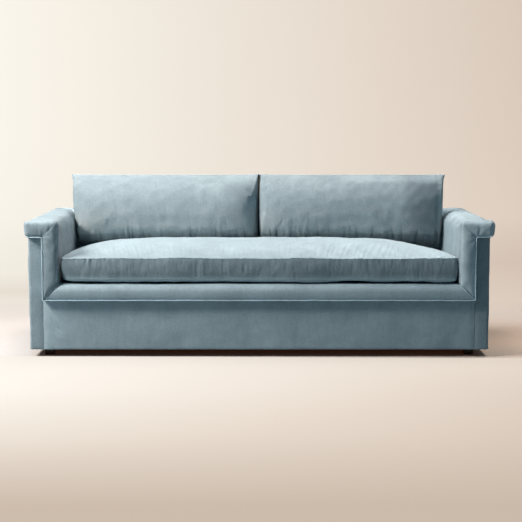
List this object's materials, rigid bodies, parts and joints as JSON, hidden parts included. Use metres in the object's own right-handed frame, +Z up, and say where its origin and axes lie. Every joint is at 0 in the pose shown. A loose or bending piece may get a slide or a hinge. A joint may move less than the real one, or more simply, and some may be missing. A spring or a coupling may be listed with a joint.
{
  "type": "tuxedo sofa",
  "caption": "Velvet tuxedo sofa: arms and back of one height with a padded band that turns out over the top, a bench seat cushion, loose back cushions and low block feet.",
  "frame": {"origin": "on the floor under the middle of the sofa's box", "axes": "+X to the viewer's right along the sofa, -Y out of its front, +Z up"},
  "size_m": [2.29, 0.89, 0.8634],
  "materials": {
    "velvet": "soft short-pile velvet, pale blue grey",
    "foot_wood": "dark stain, satin",
    "frame_wood": "bare sawn timber",
    "fibre_board": "bare fibre board",
    "webbing": "woven webbing",
    "black_cloth": "matte lining cloth",
    "filling": "foam wrapped in wadding",
    "zip_tape": "woven zip tape",
    "steel": "plain spring wire"
  },
  "bodies": {
    "frame": {"left_front_post": "frame_wood", "left_rear_post": "frame_wood", "left_arm_top_rail": "frame_wood", "left_arm_lower_rail": "frame_wood", "left_seat_rail": "frame_wood", "right_front_post": "frame_wood", "right_rear_post": "frame_wood", "right_arm_top_rail": "frame_wood", "right_arm_lower_rail": "frame_wood", "right_seat_rail": "frame_wood", "back_top_rail": "frame_wood", "back_lower_rail": "frame_wood", "back_left_upright": "frame_wood", "back_right_upright": "frame_wood", "front_rail": "frame_wood", "rear_rail": "frame_wood", "front_spring_rail": "frame_wood", "rear_spring_rail": "frame_wood", "seat_centre_brace": "frame_wood", "front_left_corner_block": "frame_wood", "front_right_corner_block": "frame_wood", "rear_left_corner_block": "frame_wood", "rear_right_corner_block": "frame_wood", "left_inside_arm_board": "fibre_board", "right_inside_arm_board": "fibre_board", "back_webbing_1": "webbing", "back_webbing_2": "webbing", "front_left_foot": "foot_wood", "front_right_foot": "foot_wood", "rear_left_foot": "foot_wood", "rear_right_foot": "foot_wood", "front_left_foot_bolt": "steel", "front_right_foot_bolt": "steel", "rear_left_foot_bolt": "steel", "rear_right_foot_bolt": "steel", "seat_spring_1": "steel", "seat_spring_2": "steel", "seat_spring_3": "steel", "seat_spring_4": "steel", "seat_spring_5": "steel", "seat_spring_6": "steel", "deck_pad": "black_cloth", "dust_cover": "black_cloth", "left_arm_pad": "velvet", "right_arm_pad": "velvet", "back_pad": "velvet", "front_rail_pad": "velvet", "left_outside_arm_cover": "velvet", "right_outside_arm_cover": "velvet", "outside_back_cover": "velvet", "front_panel_cover": "velvet"},
    "seat_cushion": {"seat_cushion_cover": "velvet", "seat_cushion_filling": "filling", "seat_cushion_zip": "zip_tape"},
    "left_back_cushion": {"left_back_cushion_cover": "velvet", "left_back_cushion_filling": "filling", "left_back_cushion_zip": "zip_tape"},
    "right_back_cushion": {"right_back_cushion_cover": "velvet", "right_back_cushion_filling": "filling", "right_back_cushion_zip": "zip_tape"}
  },
  "joints": [
    {"name": "seat_cushion_slide", "type": "slide", "parent": "frame", "child": "seat_cushion", "axis": [0, -1, 0], "range_m": [0, 0.75]},
    {"name": "left_back_cushion_lift", "type": "slide", "parent": "frame", "child": "left_back_cushion", "axis": [0, 0, 1], "range_m": [0, 0.4]},
    {"name": "right_back_cushion_lift", "type": "slide", "parent": "frame", "child": "right_back_cushion", "axis": [0, 0, 1], "range_m": [0, 0.4]}
  ]
}
